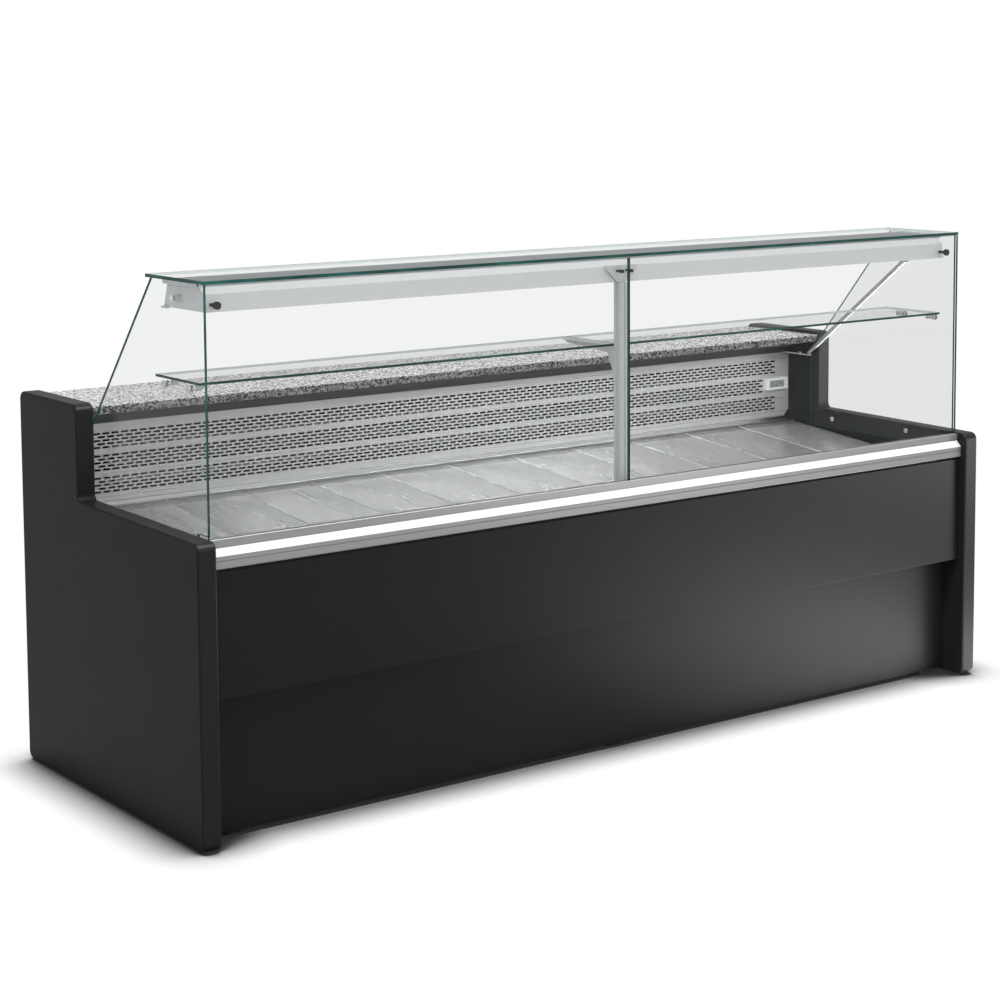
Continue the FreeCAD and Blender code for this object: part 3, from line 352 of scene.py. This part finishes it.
M = {
    "black_panel": satin_paint(
        "black_satin", (0.0065, 0.0066, 0.0070), (0.0090, 0.0091, 0.0096), 0.36, specular=0.12
    ),
    "anodised": brushed_metal(
        "aluminium_satin", (0.56, 0.57, 0.58), (0.70, 0.705, 0.71), 0.27, ALONG_X
    ),
    "profile": brushed_metal(
        "profile_satin",
        (0.28, 0.282, 0.285),
        (0.34, 0.342, 0.345),
        0.32,
        ALONG_X,
        depth=0.02,
        smudge=0.04,
        metallic=0.5,
    ),
    "stainless": brushed_metal(
        "stainless_brushed", (0.50, 0.505, 0.51), (0.66, 0.665, 0.67), 0.25, ALONG_X
    ),
    "air_sheet": brushed_metal(
        "sheet_satin",
        (0.72, 0.722, 0.724),
        (0.79, 0.792, 0.794),
        0.30,
        FINE_X,
        depth=0.006,
        smudge=0.04,
        metallic=0.55,
    ),
    "deck": brushed_metal(
        "stainless_deck",
        (0.41, 0.413, 0.416),
        (0.455, 0.457, 0.459),
        0.22,
        ALONG_Y,
        depth=0.006,
        smudge=0.03,
        metallic=0.58,
    ),
    # painted highlight: the folds and skirts of the deck plates, the same steel painted much
    # lighter so that the joints shine
    "deck_fold_painted_highlight": brushed_metal(
        "stainless_fold_painted_highlight",
        (0.80, 0.803, 0.806),
        (0.88, 0.882, 0.885),
        0.26,
        ALONG_Y,
        depth=0.01,
        smudge=0.04,
        metallic=0.65,
    ),
    "galvanised": galvanised_sheet(),
    "frame_tube": brushed_metal("mill_tube", (0.40, 0.41, 0.42), (0.55, 0.56, 0.57), 0.36, ALONG_X),
    "granite": granite_stone(),
    # painted shade: the worktop support under the stone's overhang is painted dark to stand in for
    # the shadow that falls there
    "support_painted_shade": brushed_metal(
        "tube_painted_shade", (0.10, 0.102, 0.106), (0.16, 0.162, 0.168), 0.40, ALONG_X
    ),
    "clear_glass": clear_glass("glass_clear", (0.940, 0.945, 0.943)),
    "glass_edge": glass_edge("glass_edge_green", (0.010, 0.075, 0.064)),
    "glass_edge_flat": glass_edge("glass_edge_pale", (0.76, 0.82, 0.81)),
    "light_grey_metal": satin_paint(
        "grey_lacquer", (0.50, 0.51, 0.52), (0.58, 0.59, 0.60), 0.36, 0.02, 0.5
    ),
    "lamp_shell": satin_paint(
        "lamp_lacquer",
        (0.56, 0.565, 0.57),
        (0.62, 0.625, 0.63),
        0.36,
        0.02,
        0.5,
        LAMP_TOP_SHADE,
    ),
    "lamp_lid": satin_paint(
        "lid_lacquer", (0.185, 0.19, 0.195), (0.22, 0.225, 0.23), 0.45, 0.03, 0.3
    ),
    "chrome_steel": chrome(),
    "black_rubber": moulded(
        "rubber_black", (0.012, 0.012, 0.012), (0.022, 0.022, 0.023), 0.62, 0.06
    ),
    "black_plastic": moulded("plastic_black", (0.014, 0.014, 0.016), (0.024, 0.024, 0.026), 0.45),
    "white_plastic": moulded(
        "plastic_white", (0.80, 0.805, 0.80), (0.88, 0.885, 0.885), 0.24, 0.01
    ),
    "trim_white": moulded(
        "trim_gloss_white", (0.86, 0.865, 0.87), (0.93, 0.93, 0.935), 0.18, 0.01, 600.0
    ),
    "opal_plastic": ribbed_diffuser(),
    "lcd": liquid_crystal(),
    "foam_panel": satin_paint("grey_skin", *FOAM_SKIN),
    # grey skin with painted shade, near black, on the face turned to the slots
    "duct_wall": satin_paint("duct_skin_painted_shade", *FOAM_SKIN, DUCT_PAINTED_SHADE),
    "segment": moulded(
        "segment_dark", (0.020, 0.021, 0.022), (0.030, 0.031, 0.032), 0.30, 0.01
    ),
    "door_skin": satin_paint(
        "door_dark", (0.030, 0.031, 0.034), (0.042, 0.043, 0.046), 0.38, 0.03, 0.45
    ),
    "compressor_black": moulded(
        "compressor_gloss", (0.010, 0.010, 0.011), (0.02, 0.02, 0.022), 0.22, 0.05, 300.0
    ),
    "wire_rack": moulded("epoxy_white", (0.74, 0.75, 0.75), (0.82, 0.83, 0.83), 0.30, 0.02),
}

# Nodes whose look differs from that of their record's slot.
REPAINTED = {
    "front_trim_strip": "trim_white",
    "front_profile": "profile",
    "lamp_housing": "lamp_shell",
    # the duct wall takes painted shade on its front
    "rear_upper_wall": "duct_wall",
    # painted shade under the stone
    "worktop_support": "support_painted_shade",
    "tub_front_wall": "stainless",
    "tub_floor": "stainless",
}

slot_of = {part["node"]: part["material_slot"] for part in frame["record"]["subparts"]}
for name, piece in nodes.items():
    look = M[REPAINTED.get(name, slot_of[name])]
    if not piece.material_slots:
        piece.data.materials.append(look)
    for place in piece.material_slots:
        place.material = look


# ------------------------------------------------------------------ mesh tools
def new_piece(name, mesh, finishes, body="case", smooth=False):
    """Links a mesh as a piece that rides on a body, its faces' slots filled from finishes."""
    piece = bpy.data.objects.new(name, mesh)
    bpy.context.scene.collection.objects.link(piece)
    finish_numbers = [face.material_index for face in mesh.polygons]
    mesh.materials.clear()
    for finish in finishes:
        mesh.materials.append(M[finish])
    for face, number in zip(mesh.polygons, finish_numbers):
        face.material_index = number
        face.use_smooth = smooth
    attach(piece, body)
    return piece


def sheet(piece, name, thickness, offset=-1.0):
    """Gives a piece made as one surface its thickness, in millimetres."""
    solid = piece.modifiers.new(name, "SOLIDIFY")
    solid.thickness = thickness * MM
    solid.offset = offset


def mesh_from(bm, name, outward=None):
    """The finished mesh, turned so that most of its area faces along outward."""
    if outward:
        bmesh.ops.recalc_face_normals(bm, faces=bm.faces)
        if sum(f.normal.dot(outward) * f.calc_area() for f in bm.faces) < 0:
            bmesh.ops.reverse_faces(bm, faces=bm.faces)
    mesh = bpy.data.meshes.new(name)
    bm.to_mesh(mesh)
    bm.free()
    return mesh


def bevelled_plate(name, loops, thickness, place, bevel=0.7):
    """A flat plate with small ground arrises, cut to loops in millimetres.

    The first loop is its outline and the rest are holes. Slot 0 is the faces, slot 1 the
    edges. place turns the plate's own axes into the frame."""
    curve = bpy.data.curves.new(name, "CURVE")
    curve.dimensions = "2D"
    curve.fill_mode = "BOTH"
    curve.bevel_depth = bevel * MM
    curve.bevel_resolution = 1
    curve.offset = -bevel * MM
    curve.extrude = thickness * MM / 2 - bevel * MM
    for loop in loops:
        spline = curve.splines.new("POLY")
        spline.points.add(len(loop) - 1)
        for point, (u, v) in zip(spline.points, loop):
            point.co = (u * MM, v * MM, 0.0, 1.0)
        spline.use_cyclic_u = True
    holder = bpy.data.objects.new(name + "_curve", curve)
    bpy.context.scene.collection.objects.link(holder)
    bpy.context.view_layer.update()
    depsgraph = bpy.context.evaluated_depsgraph_get()
    mesh = bpy.data.meshes.new_from_object(holder.evaluated_get(depsgraph))
    bpy.data.objects.remove(holder)
    bpy.data.curves.remove(curve)
    mesh.name = name
    bm = bmesh.new()
    bm.from_mesh(mesh)
    bmesh.ops.remove_doubles(bm, verts=bm.verts, dist=1e-6)
    bmesh.ops.recalc_face_normals(bm, faces=bm.faces)
    for face in bm.faces:
        face.material_index = 0 if abs(face.normal.z) > 0.999 else 1
    bm.transform(place)
    bm.to_mesh(mesh)
    bm.free()
    return mesh


def circle(u, v, radius, steps=20):
    turns = [2 * math.pi * i / steps for i in range(steps)]
    return [(u + radius * math.cos(a), v + radius * math.sin(a)) for a in turns]


def rounded_rectangle(u0, u1, v0, v1, radius, steps=4):
    centres = [
        (u1 - radius, v0 + radius, -90),
        (u1 - radius, v1 - radius, 0),
        (u0 + radius, v1 - radius, 90),
        (u0 + radius, v0 + radius, 180),
    ]
    loop = []
    for u, v, start in centres:
        for i in range(steps + 1):
            a = math.radians(start + 90 * i / steps)
            loop.append((u + radius * math.cos(a), v + radius * math.sin(a)))
    return loop


def plane_at(axis, value):
    """Turns a plate's (u, v) into the frame: on plane x, y or z, at value in millimetres."""
    if axis == "x":
        turn = Matrix(((0, 0, 1), (1, 0, 0), (0, 1, 0))).to_4x4()
        return Matrix.Translation((value * MM, -FRONT, 0)) @ turn
    if axis == "y":
        turn = Matrix(((1, 0, 0), (0, 0, -1), (0, 1, 0))).to_4x4()
        return Matrix.Translation((0, value * MM - FRONT, 0)) @ turn
    return Matrix.Translation((0, -FRONT, value * MM))


def mm_box(node):
    """A node's box in millimetres, with depth measured from the end panels' front edge."""
    low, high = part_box(node)
    return (
        [low.x / MM, (low.y + FRONT) / MM, low.z / MM],
        [high.x / MM, (high.y + FRONT) / MM, high.z / MM],
    )


# ------------------------------------------------------------------ glass
# The side panes, as (depth, height) in millimetres.
SIDE_OUTLINE = [
    (44.5, 1262),
    (293, 1262),
    (617, 880),
    (617, 655),
    (92, 655),
    (92, 702),
    (44.5, 702),
]
SIDE_HOLES = [(222, 683), (523, 682), (190, 1222), (120, 1024), (235, 1024)]
SIDE_HOLE_RADIUS = 4.0


def pane(name, node, axis, corner=3.0, body="case", edge="glass_edge", loops=None):
    """A pane in the place of its CAD node, thin along an axis. loops stand for its rectangle."""
    low, high = mm_box(node)
    thin = "xyz".index(axis)
    u, v = [i for i in range(3) if i != thin]
    if loops is None:
        loops = [rounded_rectangle(low[u], high[u], low[v], high[v], corner)]
    place = plane_at(axis, (low[thin] + high[thin]) / 2)
    mesh = bevelled_plate(name, loops, high[thin] - low[thin], place)
    piece = new_piece(name, mesh, ["clear_glass", edge], body)
    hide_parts(node)


side_loops = [SIDE_OUTLINE] + [circle(d, z, SIDE_HOLE_RADIUS) for d, z in SIDE_HOLES]
for side in ("left", "right"):
    front = f"front_glass_{side}"
    pane(f"front_pane_{side}", front, "y", corner=2.0, body=front)
    pane(f"shelf_pane_{side}", f"shelf_glass_{side}", "z", edge="glass_edge_flat")
    pane(f"side_pane_{side}", f"side_glass_{side}", "x", loops=side_loops)
pane("top_pane", "top_glass", "z", edge="glass_edge_flat")


# ------------------------------------------------------------------ lamp lid
def lamp_lid():
    """The lamp's dark lid, close under the top glass and seen through it."""
    front, rear, end_gap, glass_gap, corner = 99.0, 247.0, 2.0, 0.4, 3.0
    low, high = mm_box("lamp_housing")
    under = mm_box("top_glass")[0][2]
    loop = rounded_rectangle(low[0] + end_gap, high[0] - end_gap, front, rear, corner)
    place = plane_at("z", (under + high[2]) / 2)
    mesh = bevelled_plate("lamp_lid", [loop], under - high[2] - glass_gap, place)
    new_piece("lamp_lid", mesh, ["lamp_lid", "light_grey_metal"], "case")


lamp_lid()

# ------------------------------------------------------------------ slotted air panel
# Millimetres. Rows come in groups, and every second row is shifted by half a pitch.
SLOT_LENGTH, SLOT_HEIGHT, SLOT_PITCH, ROW_PITCH = 20.6, 5.0, 25.5, 8.6
GROUPS, GROUP_PITCH, ROWS, TOP_ROW = 3, 55.6, 5, 842.0
SLOTTED_HALF_WIDTH = 1150.0
DISPLAY_GROUP, DISPLAY_LEFT = 1, 1100.0
CORNER_CUT, AIR_SHEET = 18.0, 0.8


def air_panel():
    """The slotted sheet at the back of the well, one ring of faces round each slot."""
    low, high = mm_box("rear_air_panel")
    half, half_row = SLOT_PITCH / 2, ROW_PITCH / 2
    columns = 2 * int(SLOTTED_HALF_WIDTH / half)
    start = -columns * half / 2
    end_x, depth = high[0], low[1]
    r = SLOT_HEIGHT / 2
    straight = SLOT_LENGTH / 2 - r
    slant = 0.7071  # the cosine of an eighth of a turn
    bm = bmesh.new()
    known = {}

    def vert(x, z):
        key = (round(x, 3), round(z, 3))
        if key not in known:
            known[key] = bm.verts.new(at(x, depth, z))
        return known[key]

    def face(*points):
        bm.faces.new([vert(*p) for p in points])

    def slot_ring(c, z):
        """The faces round a slot, a quarter at a time."""
        for sx in (1, -1):
            for sz in (1, -1):
                top = z + sz * half_row
                far_x = c + sx * half
                rim = [
                    (c, z + sz * r),
                    (c + sx * straight, z + sz * r),
                    (c + sx * (straight + r * slant), z + sz * r * slant),
                    (c + sx * (straight + r), z),
                ]
                face((c, top), (far_x, top), rim[1], rim[0])
                face((far_x, top), rim[2], rim[1])
                face((far_x, top), (far_x, z), rim[3], rim[2])

    def slot_fits(column, row, group):
        if (column - row) % 2 or column < row % 2 or column + 2 > columns:
            return False
        return group != DISPLAY_GROUP or start + column * half + SLOT_PITCH <= DISPLAY_LEFT

    rows = [
        (TOP_ROW - group * GROUP_PITCH - row * ROW_PITCH, group, row)
        for group in range(GROUPS)
        for row in range(ROWS)
    ]
    for z, group, row in rows:
        up, down = z + half_row, z - half_row
        column = 0
        while column < columns:
            x = start + column * half
            if slot_fits(column, row, group):
                slot_ring(x + half, z)
                column += 2
            else:
                face((x, down), (x + half, down), (x + half, z), (x + half, up), (x, up), (x, z))
                column += 1

    tops = [TOP_ROW - group * GROUP_PITCH + half_row for group in range(GROUPS)]
    bottoms = [top - ROWS * ROW_PITCH for top in tops]
    for up, down in zip([high[2], *bottoms], [*tops, low[2]]):
        for column in range(columns):
            x = start + column * half
            face((x, down), (x + half, down), (x + half, up), (x, up))
    marks = sorted({round(z + step * half_row, 3) for z, _, _ in rows for step in (-1, 0, 1)})
    for side in (-1, 1):
        seam = [(-side * start, z) for z in (low[2], *marks, high[2])]
        cut = [(side * end_x, low[2] + CORNER_CUT), (side * (end_x - CORNER_CUT), low[2])]
        face(*seam, (side * end_x, high[2]), *cut)
    mesh = mesh_from(bm, "air_panel_slotted", outward=Vector((0, -1, 0)))
    piece = new_piece("air_panel_slotted", mesh, ["air_sheet"], "case")
    sheet(piece, "sheet", AIR_SHEET)
    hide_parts("rear_air_panel")


air_panel()

# ------------------------------------------------------------------ deck plates
# Millimetres.
PLATES, PLATE_GAP, FOLD_RADIUS, PLATE_SHEET = 11, 0.6, 3.6, 1.5
FOLD_STEPS, PLATE_ROWS, SKIRT = 5, 13, 14.0
DECK_FRONT, DECK_REAR = at(0, 92.0, 606.0), at(0, 691.0, 661.0)
SEAT, SAG = 0.45, 0.25  # the plates lie this far below the CAD's top, and sag in the middle


def deck_plates():
    """Eleven folded plates with rounded folds that catch the light at each joint, the folds also
    painted a lighter steel as a painted highlight.
    """
    low, high = mm_box("deck_trays")
    pitch = (high[0] - low[0] + PLATE_GAP) / PLATES
    run = DECK_REAR - DECK_FRONT
    up = run.normalized().cross(Vector((-1, 0, 0)))
    if up.z < 0:
        up = -up

    def fold(x, first):
        """A quarter turn round the fold whose middle is at x, from an angle."""
        for i in range(FOLD_STEPS + 1):
            a = first - math.pi / 2 * i / FOLD_STEPS
            yield x + FOLD_RADIUS * math.cos(a), -FOLD_RADIUS + FOLD_RADIUS * math.sin(a)

    for index in range(PLATES):
        x0 = low[0] + index * pitch
        x1 = x0 + pitch - PLATE_GAP
        left, right = fold(x0 + FOLD_RADIUS, math.pi), fold(x1 - FOLD_RADIUS, math.pi / 2)
        outline = [(x0, -SKIRT), *left, *right, (x1, -SKIRT)]
        bm = bmesh.new()
        lines = []
        for j in range(PLATE_ROWS):
            share = j / (PLATE_ROWS - 1)
            base = DECK_FRONT + run * share
            line = []
            for x, h in outline:
                middle = math.sin(math.pi * min(max((x - x0) / (x1 - x0), 0.0), 1.0))
                lift = h - SEAT - SAG * middle * math.sin(math.pi * share)
                line.append(bm.verts.new(Vector((x * MM, base.y, base.z)) + up * (lift * MM)))
            lines.append(line)
        for near, far in zip(lines, lines[1:]):
            for i in range(len(outline) - 1):
                face = bm.faces.new([near[i], near[i + 1], far[i + 1], far[i]])
                # slot 1, the folds and skirts, takes the painted highlight
                face.material_index = 0 if i == FOLD_STEPS + 1 else 1
        name = f"deck_plate_{index + 1}"
        mesh = mesh_from(bm, name, outward=Vector((0, 0, 1)))
        piece = new_piece(name, mesh, ["deck", "deck_fold_painted_highlight"], "case", smooth=True)
        sheet(piece, "sheet", PLATE_SHEET)
        if index == 0:
            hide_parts("deck_trays")


deck_plates()

# ------------------------------------------------------------------ display figures
# The lit bars of each figure: a top, b and c right, d bottom, e and f left, g middle.
FIGURES = ("abcdef", "abdeg", "bcfg")
# Shares of the display's width, or of its height for the last.
FIRST_FIGURE, FIGURE_PITCH, FIGURE_WIDTH, BAR, FIGURE_HEIGHT = 0.17, 0.255, 0.17, 0.028, 0.62
WIDE_GAP, NARROW_GAP = 0.3, 0.2  # between a figure's bars, in bar widths
INK, INK_PROUD = 0.12, 0.15  # millimetres


def display_figures():
    """Three seven-bar figures, a hair proud of the display's glass."""
    low, high = mm_box("display_screen")
    wide, tall = high[0] - low[0], high[2] - low[2]
    width, height, bar = FIGURE_WIDTH * wide, FIGURE_HEIGHT * tall, BAR * wide
    z0 = (low[2] + high[2]) / 2 - height / 2
    middle, top = z0 + height / 2, z0 + height
    lower = (z0 + bar * WIDE_GAP, middle - bar * NARROW_GAP)
    upper = (middle + bar * NARROW_GAP, top - bar * WIDE_GAP)
    bm = bmesh.new()
    for place, lit in enumerate(FIGURES):
        x0 = low[0] + wide * (FIRST_FIGURE + FIGURE_PITCH * place)
        x1 = x0 + width
        inner, left, right = (x0 + bar, x1 - bar), (x0, x0 + bar), (x1 - bar, x1)
        spans = {
            "a": (*inner, top - bar, top),
            "b": (*right, *upper),
            "c": (*right, *lower),
            "d": (*inner, z0, z0 + bar),
            "e": (*left, *lower),
            "f": (*left, *upper),
            "g": (*inner, middle - bar / 2, middle + bar / 2),
        }
        for letter in lit:
            a, b, c, d = spans[letter]
            x, z, tip = (a + b) / 2, (c + d) / 2, min(b - a, d - c) / 2
            if b - a > d - c:
                loop = [(a, z), (a + tip, c), (b - tip, c), (b, z), (b - tip, d), (a + tip, d)]
            else:
                loop = [(x, c), (b, c + tip), (b, d - tip), (x, d), (a, d - tip), (a, c + tip)]
            bm.faces.new([bm.verts.new(at(u, low[1] - INK_PROUD, v)) for u, v in loop])
    mesh = mesh_from(bm, "display_figures")
    piece = new_piece("display_figures", mesh, ["segment"], "case")
    sheet(piece, "ink", INK, offset=0.0)


display_figures()

# ------------------------------------------------------------------ floor
# The floor glows white to the camera. In mirrors it is dimmer, with a bright patch in front
# at the right that gives the black boards their gradient.
FLOOR_SEEN, FLOOR_MIRRORED, FLOOR_PATCH = 1.0, 0.5, 8.0
SHADOW_REACH, SHADOW_FROM, SHADOW_TO = 0.16, 0.495, 0.955
SHADOW_COLOUR = (0.02, 0.02, 0.02)
PATCH_X_START, PATCH_X_END, PATCH_Y = (0.2, 1.3), (1.6, 1.95), (-2.1, -1.3)
FLOOR_HALF = 60


def studio_floor():
    t = Tree("studio_floor")
    shadow = {"Distance": SHADOW_REACH}
    near = t.add("ShaderNodeAmbientOcclusion", shadow, samples=24).outputs["AO"]
    open_share = t.span(near, 0.0, 1.0, SHADOW_FROM, SHADOW_TO)
    paper = t.mixed(t.noise(30.0, 3.0), (0.985, 0.985, 0.985), (1.0, 1.0, 1.0))
    glossy = t.add("ShaderNodeLightPath").outputs["Is Glossy Ray"]
    place = t.add("ShaderNodeSeparateXYZ", {0: t.place}).outputs
    rising = t.span(place["X"], 0.0, 1.0, *PATCH_X_START)
    falling = t.span(place["X"], 1.0, 0.0, *PATCH_X_END)
    patch = t.maths("MULTIPLY", rising, falling)
    patch = t.maths("MULTIPLY", patch, t.span(place["Y"], 0.0, 1.0, *PATCH_Y))
    mirrored = t.span(patch, FLOOR_MIRRORED, FLOOR_PATCH)
    return t.surface(
        Base_Color=SHADOW_COLOUR,
        Roughness=0.9,
        Specular_IOR_Level=0.0,
        Emission_Color=t.mixed(open_share, SHADOW_COLOUR, paper),
        Emission_Strength=t.span(glossy, FLOOR_SEEN, mirrored),
    )


corners = [(x * FLOOR_HALF, y * FLOOR_HALF, 0) for x, y in ((-1, -1), (1, -1), (1, 1), (-1, 1))]
floor_mesh = bpy.data.meshes.new("floor")
floor_mesh.from_pydata(corners, [], [(0, 1, 2, 3)])
floor_mesh.materials.append(studio_floor())
floor = bpy.data.objects.new("floor", floor_mesh)
bpy.context.scene.collection.objects.link(floor)

# ------------------------------------------------------------------ light
# The sky's strength as the camera sees it, as it lights, and as mirrors show it.
SKY_SEEN, SKY_LIGHT = 1.0, 1.22
SKY_LEFT, SKY_RIGHT, SKY_BACK = 0.32, 1.10, 0.50


def studio_sky():
    world = bpy.data.worlds.new("studio")
    bpy.context.scene.world = world
    t = Tree("studio", world, "ShaderNodeOutputWorld")
    path = t.add("ShaderNodeLightPath").outputs
    towards = t.add("ShaderNodeTexCoord").outputs["Generated"]
    direction = t.add("ShaderNodeSeparateXYZ", {0: towards}).outputs
    across = t.span(direction["X"], SKY_LEFT, SKY_RIGHT, -0.9, 0.9)
    behind = t.span(direction["Y"], 1.0, SKY_BACK, 0.15, 0.45)
    above = t.span(direction["Z"], 0.0, 1.0, 0.25, 0.55)
    mirrored = t.maths("MULTIPLY", across, t.maths("MAXIMUM", behind, above))

    def glow(strength):
        settings = {"Color": (1.0, 1.0, 1.0), "Strength": strength}
        return t.add("ShaderNodeBackground", settings).outputs[0]

    unseen = t.mixed_shader(path["Is Glossy Ray"], glow(SKY_LIGHT), glow(mirrored))
    t.finish(t.mixed_shader(path["Is Camera Ray"], unseen, glow(SKY_SEEN)))


def softbox(name, place, target, size, power, only=None):
    """A soft area light, size metres wide and high. only lists the pieces that it lights."""
    data = bpy.data.lights.new(name, "AREA")
    data.shape = "RECTANGLE"
    data.size, data.size_y = size
    data.energy = power
    lamp = bpy.data.objects.new(name, data)
    bpy.context.scene.collection.objects.link(lamp)
    lamp.location = place
    away = Vector(target) - Vector(place)
    lamp.rotation_euler = away.to_track_quat("-Z", "Y").to_euler()
    if only:
        group = bpy.data.collections.new(name + "_lit")
        for piece in only:
            group.objects.link(piece)
        lamp.light_linking.receiver_collection = group


studio_sky()
end_panels = [nodes["end_panel_left"], nodes["end_panel_right"]]
boards = [*end_panels, nodes["upper_front_panel"], nodes["lower_front_panel"]]
well = ["air_panel_slotted", "display_bezel", "display_screen", "tub_front_wall", "rear_ledge"]
well += [f"deck_plate_{i + 1}" for i in range(PLATES)]
well_pieces = [bpy.data.objects[name] for name in well]
softbox("key_top", (0.3, -1.2, 4.2), (0.0, 0.0, 0.6), (5.0, 3.0), 60)
softbox("board_glow", (4.6, -3.0, 0.25), (1.1, -0.4, 0.30), (1.8, 1.2), 125, boards)
softbox("edge_glow", (-0.6, -1.6, 3.4), (-0.2, -0.3, 0.6), (3.0, 0.5), 195, end_panels)
softbox("canopy_lamp", (0.42, -0.36, 1.15), (0.42, 0.28, 0.76), (1.6, 0.12), 8, well_pieces)

# ------------------------------------------------------------------ camera
# Fitted to the photograph's view. AXIS_ROW is the row of the picture that its axis meets.
CAMERA_PLACE = (-3.5238, -4.2161 - FRONT, 1.6958)
YAW, PITCH, ROLL = (math.radians(a) for a in (36.2836, 5.5922, -0.3642))
FOCAL_PIXELS, FRAME_PIXELS, AXIS_ROW, SENSOR = 2215.0, 1000.0, 300.0, 36.0

data = bpy.data.cameras.new("camera")
data.sensor_width = SENSOR
data.lens = FOCAL_PIXELS / FRAME_PIXELS * SENSOR
data.shift_y = (AXIS_ROW - FRAME_PIXELS / 2) / FRAME_PIXELS
camera = bpy.data.objects.new("camera", data)
bpy.context.scene.collection.objects.link(camera)
flat_ahead = Vector((math.sin(YAW), math.cos(YAW), 0.0))
flat_right = Vector((math.cos(YAW), -math.sin(YAW), 0.0))
ahead = flat_ahead * math.cos(PITCH) - Vector((0.0, 0.0, math.sin(PITCH)))
over = flat_right.cross(ahead)
right = flat_right * math.cos(ROLL) + over * math.sin(ROLL)
upward = over * math.cos(ROLL) - flat_right * math.sin(ROLL)
turn = Matrix((right, upward, -ahead)).transposed().to_4x4()
camera.matrix_world = Matrix.Translation(CAMERA_PLACE) @ turn
bpy.context.scene.camera = camera
bpy.context.scene.view_settings.view_transform = "Standard"
